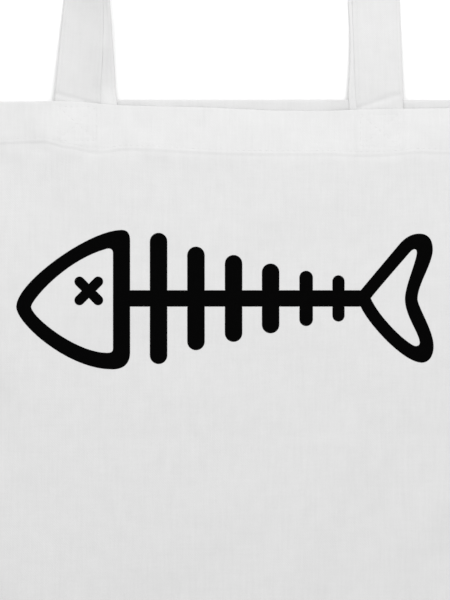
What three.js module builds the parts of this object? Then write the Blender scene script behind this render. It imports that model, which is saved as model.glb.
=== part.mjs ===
// An empty cotton tote bag lying on its back: two panels seamed at the sides and bottom, a turned-in
// hem round the mouth, and two flat tape handles sewn inside the hem and laid out beyond the mouth,
// where each rolls over until it stands on its outer edge. The front panel is printed with a fishbone.
// Millimetres. X runs across the bag, Y from its bottom towards the handles, Z up from the surface it
// lies on. The origin is the middle of the footprint, on that surface.
import * as THREE from "three";

// ---------------------------------------------------------------- driving dimensions
const BAG_WIDTH = 380;
const BAG_HEIGHT = 420;
const HANDLE_RISE = 275; // from the mouth to the outer face of the front handle's arch
const CLOTH = 0.8; // one layer, with its weave's loft
const GAP = 0.3; // between layers that touch
const CROWN = 14; // top of the front panel over the surface
const RIM = 40; // width of the rounded border where the front panel comes down to its seams
const RIM_SHAPE = 0.65; // exponent of the border's rounding
const HEM = 25;
const TAPE_WIDTH = 25;
const TAPE_THICKNESS = 1.2;
const SEWN = 24; // length of each tape end inside the hem
const SEAM_WIDTH = 8; // turned-in allowance
const SEAM_THICKNESS = 1.2;
const SEAM_INSET = 4; // from the bag's edge to the allowance
const SEAM_START = 18; // the side allowances stop short of the bag's pinched corners
const SEAM_STOP = 390; // and of the hem
const SEAM_REACH = 170; // of the bottom allowance, to each side
const FILM = 0.5; // the print

// Where each handle's outer edge leaves the mouth, how it leans inwards there, and how it rolls over:
// a first roll close to the mouth, and the rest between two distances along the tape.
const ROLL_START = 3; // distance along the tape at which it is clear of the hem
const LEFT_LEG = { foot: -92.3, lean: 0.096, firstRoll: 22, firstEnd: 18, rollFrom: 20, rollTo: 170 };
const RIGHT_LEG = { foot: 93.9, lean: 0.05, firstRoll: 8, firstEnd: 16, rollFrom: 60, rollTo: 230 };
const STANDING = 90; // roll of the arch, in degrees

// The back handle lies under the front one at the mouth, and nests inside its arch.
const MOUTH_DROP = 8.4; // from the front tape down to the back tape, at the mouth
const ARCH_DROP = 2.6; // from the front tape in to the back tape, round the arch
const DROP_END = 60; // distance from the mouth by which the one has become the other
const LEFT_SHIFT = 9.1; // how far inwards the back tape is sewn from the front one
const RIGHT_SHIFT = 4.8;
const SHIFT_END = 80;
const LANDING = 40; // distance in which the back tape comes down off the hem

// The front edge of the mouth sags below the back edge, more to the right than to the left.
const SAG_MEAN = 2.3;
const SAG_SWING = 2.1;
const SAG_MIDDLE = -25;
const SAG_SPREAD = 50;
const SAG_FADE = 125; // distance from the middle line where the sag starts to die out
const SAG_DEPTH = 120; // how far below the mouth the cloth follows the sag

// ---------------------------------------------------------------- levels, from the surface up
const BACK_TOP = CLOTH;
const SEAM_LEVEL = BACK_TOP + GAP;
const BACK_HEM_TOP = SEAM_LEVEL + CLOTH;
const BACK_TAPE_BOTTOM = BACK_HEM_TOP + GAP;
const FRONT_UNDER = CROWN - CLOTH;
const PRINT_LEVEL = CROWN + GAP;

// ---------------------------------------------------------------- print
// The fishbone's own axes start where its head meets its spine, and x runs to the tail.
const PRINT_PLACE = [-51.7, 315];
const SPINE_LENGTH = 122.6;
const SPINE_WIDTH = 8.4;
const RIBS = [
  { at: 15.3, width: 9, length: 69.5 },
  { at: 35.2, width: 9, length: 54.8 },
  { at: 55.2, width: 9, length: 45.9 },
  { at: 74.9, width: 9, length: 36.8 },
  { at: 93.8, width: 6.9, length: 29.1 },
  { at: 111, width: 6.2, length: 24.3 },
];
const EYE = { at: [-21.8, 4], reach: 4.95, radius: 2.55 };

// An outline is a start and a ring of curves, each with two handles and an end. A lone point is a line.
const HEAD_OUTSIDE = {
  start: [-60.2, -4.4],
  curves: [
    [[-60.2, 8.5], [-21.6, 36.3], [-4.4, 36.3]],
    [[-1.6, 36.3], [0, 34.8], [0, 30.7]],
    [[0, -28.6]],
    [[0, -34.5], [-3.2, -37.6], [-9.5, -37.6]],
    [[-32.7, -37.6], [-60.2, -13.2], [-60.2, -4.4]],
  ],
};
const HEAD_INSIDE = {
  start: [-52.6, -4.4],
  curves: [
    [[-52.6, -1.2], [-35.2, 20.1], [-12.6, 26.5]],
    [[-10.2, 27.2], [-8.8, 26.2], [-8.8, 23.8]],
    [[-8.8, -26.4]],
    [[-8.8, -28.4], [-9.8, -29.1], [-12.1, -29.1]],
    [[-28.6, -29.1], [-52.6, -9.8], [-52.6, -4.4]],
  ],
};
const TAIL_OUTSIDE = {
  start: [122.9, 4.2],
  curves: [
    [[142.9, 28]],
    [[145.7, 31.4], [149.1, 34.3], [154.1, 34.3]],
    [[158.6, 34.3], [161, 31.3], [161, 26]],
    [[161, 18.7], [152.9, 7.4], [152.9, -0.2]],
    [[152.9, -4.6], [161.4, -17], [161.4, -25.4]],
    [[161.4, -30.4], [159.1, -34], [155.2, -34]],
    [[145.9, -34], [127.2, -13.9], [122.9, -4.2]],
  ],
};
const TAIL_INSIDE = {
  start: [128, 0.1],
  curves: [
    [[129.6, 2.4], [137, 11], [148.2, 23.9]],
    [[150.5, 26.9], [152.8, 27.2], [152.8, 24.4]],
    [[152.8, 20.1], [146.5, 6.5], [146.5, -0.3]],
    [[146.5, -9.2], [154.3, -18.6], [154.3, -23.5]],
    [[154.3, -24.8], [153.4, -25.5], [152.1, -25.5]],
    [[148.8, -25.5], [133.3, -11.6], [128, 0.1]],
  ],
};

// ---------------------------------------------------------------- fineness
const RIM_STEPS = 8;
const HEM_TRIM = 2; // columns left out at each side of a hem, where the panels pinch
const CROSS_STEPS = 12;
const LENGTH_STEPS = 8;
const TAPE_STEP = 8; // distance between a tape's sections
const ARC_STEPS = 10;

// ---------------------------------------------------------------- shared geometry
const { smoothstep, degToRad } = THREE.MathUtils;

function solidFrom(positions, triangles) {
  const geometry = new THREE.BufferGeometry();
  geometry.setAttribute("position", new THREE.Float32BufferAttribute(positions, 3));
  geometry.setIndex(triangles);
  const faceted = geometry.toNonIndexed();
  faceted.computeVertexNormals();
  return faceted;
}

// A closed layer of cloth over a grid: place(x, y) gives each point of its underside.
function layer(columns, rows, place) {
  const positions = [];
  for (const lift of [0, CLOTH]) {
    for (const y of rows) {
      for (const x of columns) {
        const point = place(x, y);
        positions.push(point.x, point.y, point.z + lift);
      }
    }
  }
  const across = columns.length;
  const topStart = across * rows.length;
  const triangles = [];
  const quad = (a, b, c, d) => triangles.push(a, b, c, a, c, d);
  for (let j = 0; j + 1 < rows.length; j++) {
    for (let i = 0; i + 1 < across; i++) {
      const a = j * across + i;
      const b = a + 1;
      const c = b + across;
      const d = a + across;
      quad(a, d, c, b);
      quad(topStart + a, topStart + b, topStart + c, topStart + d);
    }
  }
  const wall = (a, b) => quad(a, b, topStart + b, topStart + a);
  const last = (rows.length - 1) * across;
  for (let i = 0; i + 1 < across; i++) {
    wall(i, i + 1);
    wall(last + i + 1, last + i);
  }
  for (let j = 0; j + 1 < rows.length; j++) {
    const start = j * across;
    wall(start + across, start);
    wall(start + across - 1, start + 2 * across - 1);
  }
  return solidFrom(positions, triangles);
}

function slab(low, high) {
  const size = new THREE.Vector3().subVectors(high, low);
  const middle = new THREE.Vector3().addVectors(low, high).multiplyScalar(0.5);
  return new THREE.BoxGeometry(size.x, size.y, size.z).translate(middle.x, middle.y, middle.z);
}

// ---------------------------------------------------------------- panels and hems
// Share of the crown's height at a distance from a seam.
function rimRise(distance) {
  const left = 1 - Math.min(distance, RIM) / RIM;
  return (1 - left * left) ** RIM_SHAPE;
}

function frontUnderside(x, y) {
  const rise = rimRise(BAG_WIDTH / 2 - Math.abs(x)) * rimRise(y);
  return SEAM_LEVEL + (FRONT_UNDER - SEAM_LEVEL) * rise;
}

function mouthSag(x) {
  const swing = SAG_MEAN + SAG_SWING * Math.tanh((x - SAG_MIDDLE) / SAG_SPREAD);
  return swing * (1 - smoothstep(Math.abs(x), SAG_FADE, BAG_WIDTH / 2));
}

function sagged(x, y) {
  return y - mouthSag(x) * smoothstep(y, BAG_HEIGHT - SAG_DEPTH, BAG_HEIGHT - HEM);
}

// Distances from a seam, closer together where the cloth turns most.
function rimDistances() {
  return Array.from({ length: RIM_STEPS }, (_, k) => RIM * (k / RIM_STEPS) ** 2);
}

function spread(from, to, steps) {
  return Array.from({ length: steps + 1 }, (_, k) => from + ((to - from) * k) / steps);
}

const half = BAG_WIDTH / 2;
const leftRim = rimDistances().map((distance) => distance - half);
const rightRim = leftRim.map((x) => -x).reverse();
const middleColumns = spread(RIM - half, half - RIM, CROSS_STEPS);
const bottomRows = rimDistances();
const middleRows = [...spread(RIM, BAG_HEIGHT - HEM, LENGTH_STEPS), BAG_HEIGHT];
const hemColumns = [...leftRim.slice(HEM_TRIM), ...middleColumns, ...rightRim.slice(0, -HEM_TRIM)];

// The front panel's flat middle and its three borders are separate solids, each a simple shape.
function frontLayer(columns, rows) {
  return layer(columns, rows, (x, y) => new THREE.Vector3(x, sagged(x, y), frontUnderside(x, y)));
}

function frontMiddle() {
  return frontLayer(middleColumns, middleRows);
}

function leftBorder() {
  return frontLayer([...leftRim, RIM - half - GAP], [...bottomRows, ...middleRows]);
}

function rightBorder() {
  return frontLayer([half - RIM + GAP, ...rightRim], [...bottomRows, ...middleRows]);
}

function bottomBorder() {
  return frontLayer(middleColumns, [...bottomRows, RIM - GAP]);
}

function frontHem() {
  const under = (x, y) => frontUnderside(x, y) - GAP - CLOTH;
  const rows = [BAG_HEIGHT - HEM, BAG_HEIGHT];
  return layer(hemColumns, rows, (x, y) => new THREE.Vector3(x, sagged(x, y), under(x, y)));
}

function backPanel() {
  return slab(new THREE.Vector3(-half, 0, 0), new THREE.Vector3(half, BAG_HEIGHT, BACK_TOP));
}

function backHem() {
  const side = hemColumns[0];
  const low = new THREE.Vector3(side, BAG_HEIGHT - HEM, SEAM_LEVEL);
  return slab(low, new THREE.Vector3(-side, BAG_HEIGHT, BACK_HEM_TOP));
}

// ---------------------------------------------------------------- seam allowances
function sideSeam(side) {
  const outer = side * (half - SEAM_INSET);
  const inner = outer - side * SEAM_WIDTH;
  const low = new THREE.Vector3(Math.min(outer, inner), SEAM_START, SEAM_LEVEL);
  const high = new THREE.Vector3(Math.max(outer, inner), SEAM_STOP, SEAM_LEVEL + SEAM_THICKNESS);
  return slab(low, high);
}

function bottomSeam() {
  const low = new THREE.Vector3(-SEAM_REACH, SEAM_INSET, SEAM_LEVEL);
  const high = new THREE.Vector3(SEAM_REACH, SEAM_INSET + SEAM_WIDTH, SEAM_LEVEL + SEAM_THICKNESS);
  return slab(low, high);
}

// ---------------------------------------------------------------- handles
// The front handle's outer edge, seen from above: a straight leg, an arch tangent to both legs, and a
// straight leg. The arch's radius follows from the feet, the leans and the rise.
const archTop = HANDLE_RISE - TAPE_THICKNESS / 2;
const leanAngle = (leg) => Math.atan(leg.lean);
const archShare = (leg) => (1 - Math.sin(leanAngle(leg))) / Math.cos(leanAngle(leg));
const archRoom = RIGHT_LEG.foot - LEFT_LEG.foot - archTop * (LEFT_LEG.lean + RIGHT_LEG.lean);
const archRadius = archRoom / (archShare(LEFT_LEG) + archShare(RIGHT_LEG));
const archX = LEFT_LEG.foot + archTop * LEFT_LEG.lean + archRadius * archShare(LEFT_LEG);
const archY = archTop - archRadius;
const legLength = (leg) => (archY + archRadius * Math.sin(leanAngle(leg))) / Math.cos(leanAngle(leg));
const leftLength = legLength(LEFT_LEG);
const rightLength = legLength(RIGHT_LEG);
const archLength = archRadius * (Math.PI - leanAngle(LEFT_LEG) - leanAngle(RIGHT_LEG));
const edgeLength = leftLength + archLength + rightLength;

// The point on that edge at a distance from the left foot, and the direction into the loop.
function edgeAt(distance) {
  if (distance < leftLength) {
    const angle = leanAngle(LEFT_LEG);
    const point = new THREE.Vector3(
      LEFT_LEG.foot + distance * Math.sin(angle),
      distance * Math.cos(angle),
      0,
    );
    return { point, inward: new THREE.Vector3(Math.cos(angle), -Math.sin(angle), 0) };
  }
  if (distance > leftLength + archLength) {
    const angle = leanAngle(RIGHT_LEG);
    const left = edgeLength - distance;
    const point = new THREE.Vector3(RIGHT_LEG.foot - left * Math.sin(angle), left * Math.cos(angle), 0);
    return { point, inward: new THREE.Vector3(-Math.cos(angle), -Math.sin(angle), 0) };
  }
  const turned = Math.PI - leanAngle(LEFT_LEG) - (distance - leftLength) / archRadius;
  const outward = new THREE.Vector3(Math.cos(turned), Math.sin(turned), 0);
  const point = new THREE.Vector3(archX, archY, 0).addScaledVector(outward, archRadius);
  return { point, inward: outward.negate() };
}

function rollAt(leg, distance) {
  const first = leg.firstRoll * smoothstep(distance, ROLL_START, leg.firstEnd);
  const rest = (STANDING - leg.firstRoll) * smoothstep(distance, leg.rollFrom, leg.rollTo);
  return degToRad(first + rest);
}

// One cross-section of a tape: its lower outer edge, the direction across it and its face's normal.
function tapeSection(distance, isFront) {
  const onLeft = distance < edgeLength / 2;
  const fromFoot = onLeft ? distance : edgeLength - distance;
  const roll = rollAt(onLeft ? LEFT_LEG : RIGHT_LEG, fromFoot);
  const { point, inward } = edgeAt(distance);
  const up = new THREE.Vector3(0, 0, 1);
  const across = inward.clone().multiplyScalar(Math.cos(roll)).addScaledVector(up, Math.sin(roll));
  const normal = up.clone().multiplyScalar(Math.cos(roll)).addScaledVector(inward, -Math.sin(roll));
  const drop = THREE.MathUtils.lerp(MOUTH_DROP, ARCH_DROP, smoothstep(fromFoot, ROLL_START, DROP_END));
  const landed = BACK_TAPE_BOTTOM * (1 - smoothstep(fromFoot, ROLL_START, LANDING));
  const edge = point.addScaledVector(up, (drop + TAPE_THICKNESS / 2) * Math.cos(roll) + landed);
  if (!isFront) {
    const shift = (onLeft ? LEFT_SHIFT : RIGHT_SHIFT) * (1 - smoothstep(fromFoot, ROLL_START, SHIFT_END));
    edge.addScaledVector(across, shift).addScaledVector(normal, -drop);
  }
  return { edge, across, normal };
}

function handle(isFront) {
  const free = spread(ROLL_START, edgeLength - ROLL_START, Math.round(edgeLength / TAPE_STEP));
  const distances = [-SEWN, ...free, edgeLength + SEWN];
  const corners = [
    [0, -1],
    [1, -1],
    [1, 1],
    [0, 1],
  ];
  const positions = [];
  for (const distance of distances) {
    const { edge, across, normal } = tapeSection(distance, isFront);
    for (const [side, face] of corners) {
      const corner = edge.clone().addScaledVector(across, side * TAPE_WIDTH);
      corner.addScaledVector(normal, (face * TAPE_THICKNESS) / 2);
      positions.push(corner.x, corner.y + BAG_HEIGHT, corner.z);
    }
  }
  const count = corners.length;
  const spans = distances.length - 1;
  const triangles = [0, 1, 2, 0, 2, 3];
  for (let k = 0; k < spans; k++) {
    for (let c = 0; c < count; c++) {
      const a = k * count + c;
      const b = k * count + ((c + 1) % count);
      triangles.push(a, a + count, b, b, a + count, b + count);
    }
  }
  const end = spans * count;
  triangles.push(end, end + 2, end + 1, end, end + 3, end + 2);
  return solidFrom(positions, triangles);
}

// ---------------------------------------------------------------- print
function trace(path, outline) {
  path.moveTo(...outline.start);
  for (const curve of outline.curves) {
    if (curve.length === 1) {
      path.lineTo(...curve[0]);
    } else {
      path.bezierCurveTo(...curve.flat());
    }
  }
  return path;
}

function film(shape) {
  return new THREE.ExtrudeGeometry(shape, { depth: FILM, bevelEnabled: false, curveSegments: ARC_STEPS });
}

// Both outlines run clockwise, and a hole has to run the other way.
function ringShape(outside, inside) {
  const shape = trace(new THREE.Shape(), outside);
  const hole = trace(new THREE.Path(), inside).getPoints(ARC_STEPS).reverse();
  shape.holes.push(new THREE.Path(hole));
  return shape;
}

// Spine and ribs as one outline: along the top towards the tail, and back along the underside.
function bonesShape() {
  const shape = new THREE.Shape();
  const halfSpine = SPINE_WIDTH / 2;
  const start = GAP;
  const end = SPINE_LENGTH - GAP;
  shape.moveTo(start, -halfSpine);
  shape.lineTo(start, halfSpine);
  for (const rib of RIBS) {
    ribEnd(shape, rib, 1);
  }
  shape.lineTo(end, halfSpine);
  shape.lineTo(end, -halfSpine);
  for (const rib of RIBS.toReversed()) {
    ribEnd(shape, rib, -1);
  }
  shape.closePath();
  return shape;
}

// The part of a rib on one side of the spine, with its round end.
function ribEnd(shape, rib, side) {
  const radius = rib.width / 2;
  const centre = side * (rib.length / 2 - radius);
  shape.lineTo(rib.at - side * radius, (side * SPINE_WIDTH) / 2);
  shape.lineTo(rib.at - side * radius, centre);
  shape.absarc(rib.at, centre, radius, side > 0 ? Math.PI : 0, side > 0 ? 0 : -Math.PI, true);
  shape.lineTo(rib.at + side * radius, (side * SPINE_WIDTH) / 2);
}

// Two crossed strokes with round ends.
function eyeShape() {
  const shape = new THREE.Shape();
  const notch = EYE.radius * Math.SQRT2;
  for (let arm = 0; arm < 4; arm++) {
    const angle = Math.PI / 4 + (arm * Math.PI) / 2;
    const x = EYE.at[0] + EYE.reach * Math.SQRT2 * Math.cos(angle);
    const y = EYE.at[1] + EYE.reach * Math.SQRT2 * Math.sin(angle);
    shape.absarc(x, y, EYE.radius, angle - Math.PI / 2, angle + Math.PI / 2, false);
    const between = angle + Math.PI / 4;
    shape.lineTo(EYE.at[0] + notch * Math.cos(between), EYE.at[1] + notch * Math.sin(between));
  }
  return shape;
}

// ---------------------------------------------------------------- materials
const cotton = () => new THREE.MeshStandardMaterial({ color: 0xf1f1f0, roughness: 0.95, metalness: 0 });
const tape = () => new THREE.MeshStandardMaterial({ color: 0xededec, roughness: 0.95, metalness: 0 });
const ink = () => new THREE.MeshStandardMaterial({ color: 0x060606, roughness: 0.85, metalness: 0 });

function part(name, geometry, material) {
  const mesh = new THREE.Mesh(geometry, material);
  mesh.name = name;
  return mesh;
}

// ---------------------------------------------------------------- the bag
const body = new THREE.Group();
body.add(
  part("back_panel", backPanel(), cotton()),
  part("back_hem", backHem(), cotton()),
  part("front_panel", frontMiddle(), cotton()),
  part("front_border_left", leftBorder(), cotton()),
  part("front_border_right", rightBorder(), cotton()),
  part("front_border_bottom", bottomBorder(), cotton()),
  part("front_hem", frontHem(), cotton()),
  part("side_seam_left", sideSeam(-1), cotton()),
  part("side_seam_right", sideSeam(1), cotton()),
  part("bottom_seam", bottomSeam(), cotton()),
);

const handles = new THREE.Group();
handles.add(part("back_handle", handle(false), tape()), part("front_handle", handle(true), tape()));

const print = new THREE.Group();
print.position.set(...PRINT_PLACE, PRINT_LEVEL);
print.add(
  part("print_head", film(ringShape(HEAD_OUTSIDE, HEAD_INSIDE)), ink()),
  part("print_eye", film(eyeShape()), ink()),
  part("print_bones", film(bonesShape()), ink()),
  part("print_tail", film(ringShape(TAIL_OUTSIDE, TAIL_INSIDE)), ink()),
);

const tote = new THREE.Group();
tote.position.y = -(BAG_HEIGHT + HANDLE_RISE) / 2;
tote.add(body, handles, print);

export default tote;
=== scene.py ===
"""An empty white cotton tote bag with a printed fishbone, lying on its back, seen from straight above."""

import math

import bpy
import numpy as np
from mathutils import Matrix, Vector
from mathutils.bvhtree import BVHTree
from mathutils.geometry import delaunay_2d_cdt


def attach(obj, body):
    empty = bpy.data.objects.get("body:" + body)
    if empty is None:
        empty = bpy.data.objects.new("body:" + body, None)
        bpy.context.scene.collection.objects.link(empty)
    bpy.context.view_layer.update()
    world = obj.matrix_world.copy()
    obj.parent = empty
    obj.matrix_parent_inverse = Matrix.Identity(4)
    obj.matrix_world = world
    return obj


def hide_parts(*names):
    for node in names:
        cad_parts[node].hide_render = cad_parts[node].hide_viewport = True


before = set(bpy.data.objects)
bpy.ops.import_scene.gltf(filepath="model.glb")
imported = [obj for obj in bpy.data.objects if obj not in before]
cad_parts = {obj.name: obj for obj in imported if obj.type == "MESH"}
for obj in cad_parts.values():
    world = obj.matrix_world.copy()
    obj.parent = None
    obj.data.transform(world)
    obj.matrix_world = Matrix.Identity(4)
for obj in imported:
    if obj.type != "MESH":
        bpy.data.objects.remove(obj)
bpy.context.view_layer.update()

# ------ sizes, in millimetres
# The bag's own axes: x across from its middle line, y up from its bottom seam, z up from the floor.
MM = 0.001
BAG_WIDTH = 380
BAG_HEIGHT = 420
HANDLE_RISE = 275  # from the bag's mouth to the top of the handles' arch
ORIGIN_Y = (BAG_HEIGHT + HANDLE_RISE) / 2
HALF = BAG_WIDTH / 2
CLOTH = 0.5  # one layer's thickness
CROWN = 14  # height of the front panel's middle
RIM = 40  # how far from the seams the front has risen to it
RIM_SHAPE = 0.65  # of that rise: 0.5 is a quarter round, 1 a parabola
HEM = 25
TAPE_WIDTH = 25
TAPE_THICKNESS = 1.2  # the room that a tape takes
SEWN = 24  # length of a tape's end behind the hem
SEAM_ALLOWANCE = 12
CORNER_RADIUS = 6

# Levels of the middle of each layer
FACE_DEPTH = 0.3  # from the bag's outer faces
FRONT_TOP = CROWN - FACE_DEPTH
FRONT_SEAM = 1.55
SOFT_STOP = 0.15  # how softly the front's folds stop at the level of its seams
BACK_LEVEL = FACE_DEPTH
BACK_FOLDS = 0.2  # height of the back's folds, as a share of the front's
LAYER_STEP = 1.1  # from a panel to its hem's inner layer

# The front near its mouth, which the tapes' stitching holds nearly shut
MOUTH_SHARE = 0.55  # what is left of the crown's rise there
MOUTH_FALL = (391, 421)  # y between which the front comes down to that
FALL_EASE = 5  # length of the bend that starts the fall
CORNER_STAND = 0.75  # the share of the fall that is missing left of the left handle
CORNER_EDGE = (-101, -90)  # x between which it is back

# The back near its mouth. The tapes' ends press its edge down.
BACK_RISE_START = 382  # the y from which it rises
BACK_MOUTH = [  # how far the edge stands up, as (x, height)
    (-170, 0), (-122, 5.3), (-105, 5.2), (-94, 4.1), (-57, 4.1), (-46, 5.3), (-20, 5.3), (30, 5.7),
    (54, 5.7), (64, 4.1), (95, 4.1), (106, 5.6), (122, 5.6), (170, 0),
]
BACK_REACH = [  # how far the edge lies beyond the bag's height, as (x, length)
    (-101, 0), (-86, 1), (-60, 1), (90, 0.9), (130, 0.7), (160, 0),
]

# ------ the photograph's view
IMAGE_HEIGHT = 600
PIXELS_PER_MM = 1.88
VIEW_CENTRE = (-1.06, 314.15)  # x and y in the middle of the picture
VIEW_LEVEL = 14  # the height at which the scale holds
VIEW_DISTANCE = 1700
SENSOR = 36

# ------ light and brightness
WORLD_STRENGTH = 0.54
# Square area lights aimed at the origin, as (place, side and power), in metres and watts
LIGHTS = {"key": ((0.09, 0.85, 1.35), 0.9, 16.8), "top": ((0, 0.5, 4.5), 5, 45)}
BAG_BRIGHTNESS = 0.655
TAPE_BRIGHTNESS = 0.645
# The back tape is the same cotton as the front tape. It is painted lighter to make up for the shade that the
# front tape's edge casts on it.
BACK_TAPE_PAINTED_BRIGHTNESS = 0.66
THREAD_BRIGHTNESS = 0.66
SHADE_REACH = 0.045  # how far the cotton's shade goes either way, as a share
FLOOR_REACH = 25  # metres from the middle to the floor's edge


# ------ small maths
def smoothstep(value, low, high):
    """A smooth rise from 0 at low to 1 at high."""
    t = np.clip((np.asarray(value, float) - low) / (high - low), 0, 1)
    return t * t * (3 - 2 * t)


def through(points, x):
    """A smooth curve through (x, y) points, level beyond its ends."""
    px, py = np.array(points, float).T
    slopes = np.gradient(py, px)
    slopes[0] = slopes[-1] = 0
    x = np.clip(x, px[0], px[-1])
    i = np.clip(np.searchsorted(px, x) - 1, 0, len(px) - 2)
    width = px[i + 1] - px[i]
    t = (x - px[i]) / width
    start = (1 + 2 * t) * py[i] + t * width * slopes[i]
    stop = (3 - 2 * t) * py[i + 1] + (t - 1) * width * slopes[i + 1]
    return (1 - t) ** 2 * start + t * t * stop


def ramp(value, low, high, ease):
    """A straight rise from 0 to 1 that starts with a bend."""
    t = np.clip(value, low, high) - low
    straight = high - low - ease / 2
    return np.where(t < ease, t * t / (2 * ease), t - ease / 2) / straight


LINE_VALUES = 512  # random values along a line of noise, after which it repeats
FIELD_VALUES = 64  # the same for each side of a field


def cell_and_share(place, spacing, start):
    """The cell of a noise that each place lies in, and its eased share of the way across."""
    t = np.asarray(place, float) / spacing + start
    i = np.floor(t).astype(int)
    f = t - i
    return i, f * f * (3 - 2 * f)


def noise_line(s, seed, spacing):
    """Smooth noise from -1 to 1 along a line, with a new value every spacing."""
    values = np.random.default_rng(seed).uniform(-1, 1, LINE_VALUES)
    i, f = cell_and_share(s, spacing, LINE_VALUES // 4)
    return values[i % LINE_VALUES] * (1 - f) + values[(i + 1) % LINE_VALUES] * f


def noise_field(x, y, seed, spacing):
    """Smooth noise from -1 to 1 over a plane."""
    values = np.random.default_rng(seed).uniform(-1, 1, (FIELD_VALUES, FIELD_VALUES))
    (i, f), (j, g) = (cell_and_share(place, spacing, FIELD_VALUES // 2) for place in (x, y))
    i, j = i % FIELD_VALUES, j % FIELD_VALUES
    k, m = (i + 1) % FIELD_VALUES, (j + 1) % FIELD_VALUES
    low = values[i, j] * (1 - f) + values[k, j] * f
    high = values[i, m] * (1 - f) + values[k, m] * f
    return low * (1 - g) + high * g


def distance_to(x, y, start, stop):
    """Distance from points to the line between two others."""
    (ax, ay), (bx, by) = start, stop
    length = math.hypot(bx - ax, by - ay)
    t = np.clip(((x - ax) * (bx - ax) + (y - ay) * (by - ay)) / length**2, 0, 1)
    return np.hypot(x - ax - t * (bx - ax), y - ay - t * (by - ay))


def spaced(low, high, step):
    """Even places from low to high, about a step apart."""
    return np.linspace(low, high, max(2, int(round((high - low) / step)) + 1))


# ------ meshes
def added(name, data):
    """A new object in the scene."""
    made = bpy.data.objects.new(name, data)
    bpy.context.scene.collection.objects.link(made)
    return made


def mesh_piece(name, points, faces, cloth, material):
    """A mesh object from points in the bag's axes. cloth is each point's place on the flat cloth."""
    mesh = bpy.data.meshes.new(name)
    places = (np.asarray(points, float) - (0, ORIGIN_Y, 0)) * MM
    mesh.from_pydata(places.tolist(), [], faces)
    mesh.attributes.new("cloth", "FLOAT_VECTOR", "POINT")
    flat = np.zeros((len(places), 3), np.float32)
    flat[:, :2] = cloth
    mesh.attributes["cloth"].data.foreach_set("vector", flat.ravel())
    mesh.shade_smooth()
    mesh.materials.append(material)
    mesh.validate()
    mesh.update()
    return added(name, mesh)


def grid_quads(across, along):
    """Quads of a grid whose points run across first, facing up for x across and y along."""
    i, j = np.meshgrid(np.arange(across - 1), np.arange(along - 1))
    a = (j * across + i).ravel()
    return np.stack([a, a + 1, a + 1 + across, a + across], 1)


def ring_quads(rings, sides):
    """Quads between closed rings of points that follow one another."""
    k, c = np.meshgrid(np.arange(rings - 1), np.arange(sides), indexing="ij")
    a, b = (k * sides + c).ravel(), (k * sides + (c + 1) % sides).ravel()
    return np.stack([a, b, b + sides, a + sides], 1)


def grid_normals(surface):
    """Unit normals of a (along, across, 3) grid."""
    along = np.gradient(surface, axis=0)
    across = np.gradient(surface, axis=1)
    normal = np.cross(across, along)
    return normal / np.linalg.norm(normal, axis=2, keepdims=True)


def layer_piece(name, surface, cloth, thickness, material):
    """A closed layer of cloth around a (along, across, 3) grid of middle points."""
    along, across = surface.shape[:2]
    normal = grid_normals(surface)
    count = along * across
    points = np.concatenate([surface + normal * thickness / 2, surface - normal * thickness / 2])
    top = grid_quads(across, along)
    index = np.arange(count).reshape(along, across)
    border = np.concatenate([index[0], index[1:, -1], index[-1, -2::-1], index[-2:0:-1, 0]])
    ahead = np.roll(border, -1)
    walls = np.stack([border, border + count, ahead + count, ahead], 1)
    faces = np.concatenate([top, top[:, ::-1] + count, walls]).tolist()
    return mesh_piece(name, points.reshape(-1, 3), faces, np.tile(cloth.reshape(-1, 2), (2, 1)), material)


# ------ the shape of the panels
# The front's mouth edge and the lower edge of its hem, as (x, y)
MOUTH_LINE = [
    (-190, 420), (-118, 419.6), (-101, 419.6), (-92, 420.1), (-80, 420), (-67, 418.8), (-53, 417.9),
    (-30, 417.3), (2, 416.3), (14, 415.7), (22, 415.3), (34, 415.1), (56, 415.1), (66, 415.5),
    (80, 415.9), (96, 416.2), (118, 416.5), (190, 419.5),
]
HEM_LINE = [
    (-190, 396.5), (-115, 397.7), (-104, 398.2), (-96, 398.2), (-88, 395.9), (-81, 394.8), (-73, 393.1),
    (-67, 392.8), (-61, 393.5), (-56, 394.3), (-46, 394.2), (-30, 393.4), (-20, 392.8), (2, 391.8),
    (38, 391.5), (56, 391.6), (63, 391.2), (80, 391), (90, 391.6), (100, 392.6), (113, 392.4), (190, 394.5),
]
SAG_DEPTH = 120  # how far below the hem the cloth follows the hem's line
CREASE_Y = 241.5  # of an old fold across the bag


def rim_rise(distance):
    """The front's height at a distance from a seam, from 0 to 1."""
    left = 1 - np.clip(distance, 0, RIM) / RIM
    return (1 - left * left) ** RIM_SHAPE


def sagged(x, y):
    """Where a point of the flat front lies along the bag, once its mouth edge has sagged."""
    hem = through(HEM_LINE, x)
    mouth = through(MOUTH_LINE, x)
    hem_start = BAG_HEIGHT - HEM
    body = y + (hem - hem_start) * smoothstep(y, hem_start - SAG_DEPTH, hem_start)
    turned = hem + (y - hem_start) * (mouth - hem) / HEM
    return np.where(y < hem_start, body, turned)


def rounded_corner(x, y):
    """Moves points near the two bottom corners, so that the outline turns with a radius."""
    a = np.clip(CORNER_RADIUS - (HALF - np.abs(x)), 0, CORNER_RADIUS) / CORNER_RADIUS
    b = np.clip(CORNER_RADIUS - y, 0, CORNER_RADIUS) / CORNER_RADIUS
    across = (a - a * np.sqrt(1 - b * b / 2)) * CORNER_RADIUS
    along = (b - b * np.sqrt(1 - a * a / 2)) * CORNER_RADIUS
    return x - np.sign(x) * across, y + along


RIGHT_FOLDS, BOTTOM_FOLDS = 900, 2000  # where these sides' folds start along the noise
PUCKERS_END = (370, 405)  # y between which the folds run out below the hem


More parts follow.
